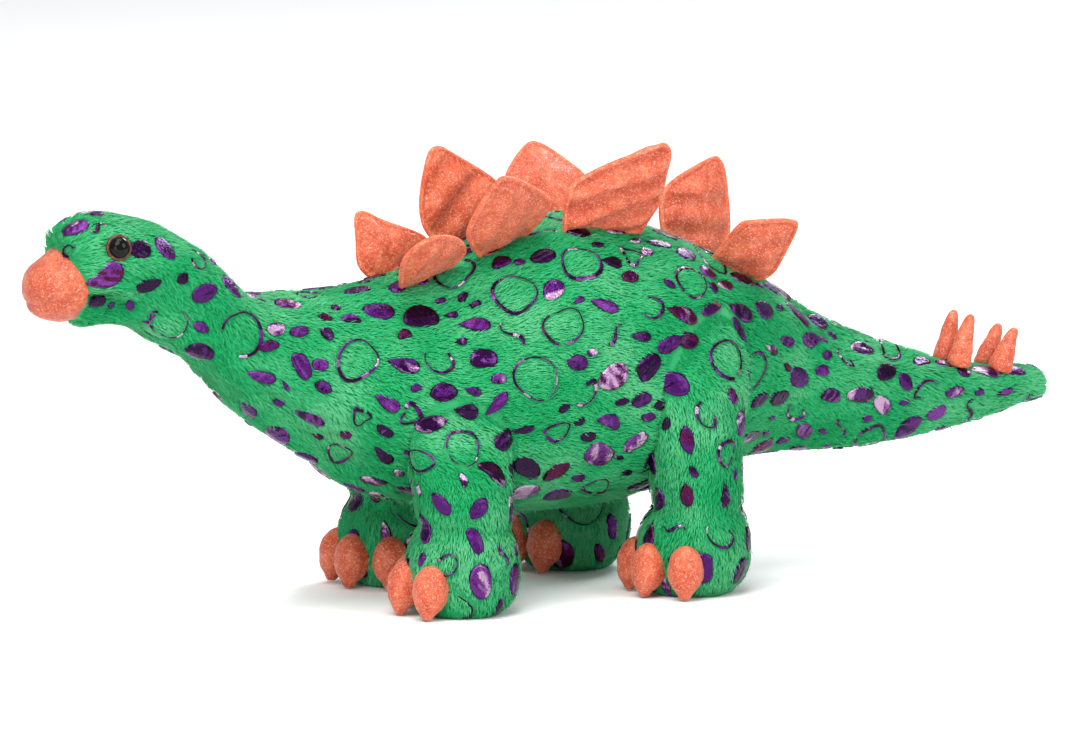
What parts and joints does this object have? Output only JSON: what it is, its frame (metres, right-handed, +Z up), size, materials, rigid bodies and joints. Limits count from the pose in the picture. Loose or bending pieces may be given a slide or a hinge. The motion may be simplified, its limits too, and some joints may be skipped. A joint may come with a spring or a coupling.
{
  "type": "stuffed dinosaur",
  "caption": "Plush long-necked dinosaur standing on stub legs, with padded leaf-shaped back plates, tail spikes, toe pods, round eyes and soft-bending neck, tail and legs.",
  "frame": {"origin": "on the floor, under the middle of the toy's overall box", "axes": "+Z up; -Y the way the head faces; +X the toy's left side; +Y runs along the toy's length towards the tail"},
  "size_m": [0.121, 0.436, 0.1727],
  "materials": {
    "plush": "matte",
    "stuffing": "matte",
    "coral_cloth": "satin",
    "eye_amber": "gloss",
    "eye_black": "gloss",
    "washer": "matte"
  },
  "bodies": {
    "torso": {"torso_cover": "plush", "torso_stuffing": "stuffing"},
    "neck": {"neck_cover": "plush", "neck_stuffing": "stuffing"},
    "head": {"head_cover": "plush", "head_stuffing": "stuffing", "snout_patch": "coral_cloth", "eye_disc_left": "eye_amber", "eye_disc_right": "eye_amber", "eye_dome_left": "eye_black", "eye_dome_right": "eye_black", "eye_washer_left": "washer", "eye_washer_right": "washer"},
    "tail_base": {"tail_base_cover": "plush", "tail_base_stuffing": "stuffing"},
    "tail_tip": {"tail_tip_cover": "plush", "tail_tip_stuffing": "stuffing", "spike_left_1": "coral_cloth", "spike_left_2": "coral_cloth", "spike_right_1": "coral_cloth", "spike_right_2": "coral_cloth"},
    "leg_front_left": {"leg_front_left_cover": "plush", "leg_front_left_stuffing": "stuffing", "toe_front_left_1": "coral_cloth", "toe_front_left_2": "coral_cloth", "toe_front_left_3": "coral_cloth"},
    "leg_front_right": {"leg_front_right_cover": "plush", "leg_front_right_stuffing": "stuffing", "toe_front_right_1": "coral_cloth", "toe_front_right_2": "coral_cloth", "toe_front_right_3": "coral_cloth"},
    "leg_hind_left": {"leg_hind_left_cover": "plush", "leg_hind_left_stuffing": "stuffing", "toe_hind_left_1": "coral_cloth", "toe_hind_left_2": "coral_cloth", "toe_hind_left_3": "coral_cloth"},
    "leg_hind_right": {"leg_hind_right_cover": "plush", "leg_hind_right_stuffing": "stuffing", "toe_hind_right_1": "coral_cloth", "toe_hind_right_2": "coral_cloth", "toe_hind_right_3": "coral_cloth"},
    "plate_left_1": {"plate_left_1": "coral_cloth"},
    "plate_left_2": {"plate_left_2": "coral_cloth"},
    "plate_left_3": {"plate_left_3": "coral_cloth"},
    "plate_left_4": {"plate_left_4": "coral_cloth"},
    "plate_right_1": {"plate_right_1": "coral_cloth"},
    "plate_right_2": {"plate_right_2": "coral_cloth"},
    "plate_right_3": {"plate_right_3": "coral_cloth"},
    "plate_right_4": {"plate_right_4": "coral_cloth"}
  },
  "joints": [
    {"name": "neck_swing", "type": "hinge", "parent": "torso", "child": "neck", "pos_m": [0, -0.1, 0.0875], "axis": [0, 0, 1], "range_deg": [-12, 12], "stiffness_Nm_per_rad": 0.25},
    {"name": "head_nod", "type": "hinge", "parent": "neck", "child": "head", "pos_m": [0, -0.157, 0.1235], "axis": [1, 0, 0], "range_deg": [-12, 12], "stiffness_Nm_per_rad": 0.25},
    {"name": "tail_swing", "type": "hinge", "parent": "torso", "child": "tail_base", "pos_m": [0, 0.088, 0.0775], "axis": [0, 0, 1], "range_deg": [-14, 14], "stiffness_Nm_per_rad": 0.25},
    {"name": "tail_tip_lift", "type": "hinge", "parent": "tail_base", "child": "tail_tip", "pos_m": [0, 0.15, 0.062], "axis": [1, 0, 0], "range_deg": [-12, 12], "stiffness_Nm_per_rad": 0.15},
    {"name": "leg_front_left_swing", "type": "hinge", "parent": "torso", "child": "leg_front_left", "pos_m": [0.037, -0.054, 0.065], "axis": [1, 0, 0], "range_deg": [-12, 12], "stiffness_Nm_per_rad": 0.6},
    {"name": "leg_front_right_swing", "type": "hinge", "parent": "torso", "child": "leg_front_right", "pos_m": [-0.037, -0.041, 0.065], "axis": [1, 0, 0], "range_deg": [-12, 12], "stiffness_Nm_per_rad": 0.6},
    {"name": "leg_hind_left_swing", "type": "hinge", "parent": "torso", "child": "leg_hind_left", "pos_m": [0.037, 0.045, 0.0885], "axis": [1, 0, 0], "range_deg": [-12, 12], "stiffness_Nm_per_rad": 0.6},
    {"name": "leg_hind_right_swing", "type": "hinge", "parent": "torso", "child": "leg_hind_right", "pos_m": [-0.037, 0.035, 0.0885], "axis": [1, 0, 0], "range_deg": [-12, 12], "stiffness_Nm_per_rad": 0.6},
    {"name": "plate_left_1_flop", "type": "hinge", "parent": "torso", "child": "plate_left_1", "pos_m": [0.012, -0.0575, 0.1228], "axis": [0, 0.9675, 0.2531], "range_deg": [-12, 12], "stiffness_Nm_per_rad": 0.006},
    {"name": "plate_left_2_flop", "type": "hinge", "parent": "torso", "child": "plate_left_2", "pos_m": [0.014, -0.024, 0.13333], "axis": [0, 0.9617, 0.274], "range_deg": [-12, 12], "stiffness_Nm_per_rad": 0.006},
    {"name": "plate_left_3_flop", "type": "hinge", "parent": "torso", "child": "plate_left_3", "pos_m": [0.018, 0.017, 0.13725], "axis": [0, 0.9972, -0.0746], "range_deg": [-12, 12], "stiffness_Nm_per_rad": 0.006},
    {"name": "plate_left_4_flop", "type": "hinge", "parent": "torso", "child": "plate_left_4", "pos_m": [0.016, 0.075, 0.11778], "axis": [0, 0.8791, -0.4765], "range_deg": [-12, 12], "stiffness_Nm_per_rad": 0.006},
    {"name": "plate_right_1_flop", "type": "hinge", "parent": "torso", "child": "plate_right_1", "pos_m": [-0.012, -0.0545, 0.12384], "axis": [0, 0.9487, 0.3162], "range_deg": [-12, 12], "stiffness_Nm_per_rad": 0.006},
    {"name": "plate_right_2_flop", "type": "hinge", "parent": "torso", "child": "plate_right_2", "pos_m": [-0.014, -0.0215, 0.13404], "axis": [0, 0.9617, 0.274], "range_deg": [-12, 12], "stiffness_Nm_per_rad": 0.006},
    {"name": "plate_right_3_flop", "type": "hinge", "parent": "torso", "child": "plate_right_3", "pos_m": [-0.018, 0.018, 0.13717], "axis": [0, 0.9972, -0.0746], "range_deg": [-12, 12], "stiffness_Nm_per_rad": 0.006},
    {"name": "plate_right_4_flop", "type": "hinge", "parent": "torso", "child": "plate_right_4", "pos_m": [-0.015, 0.071, 0.12038], "axis": [0, 0.8894, -0.457], "range_deg": [-12, 12], "stiffness_Nm_per_rad": 0.006}
  ]
}
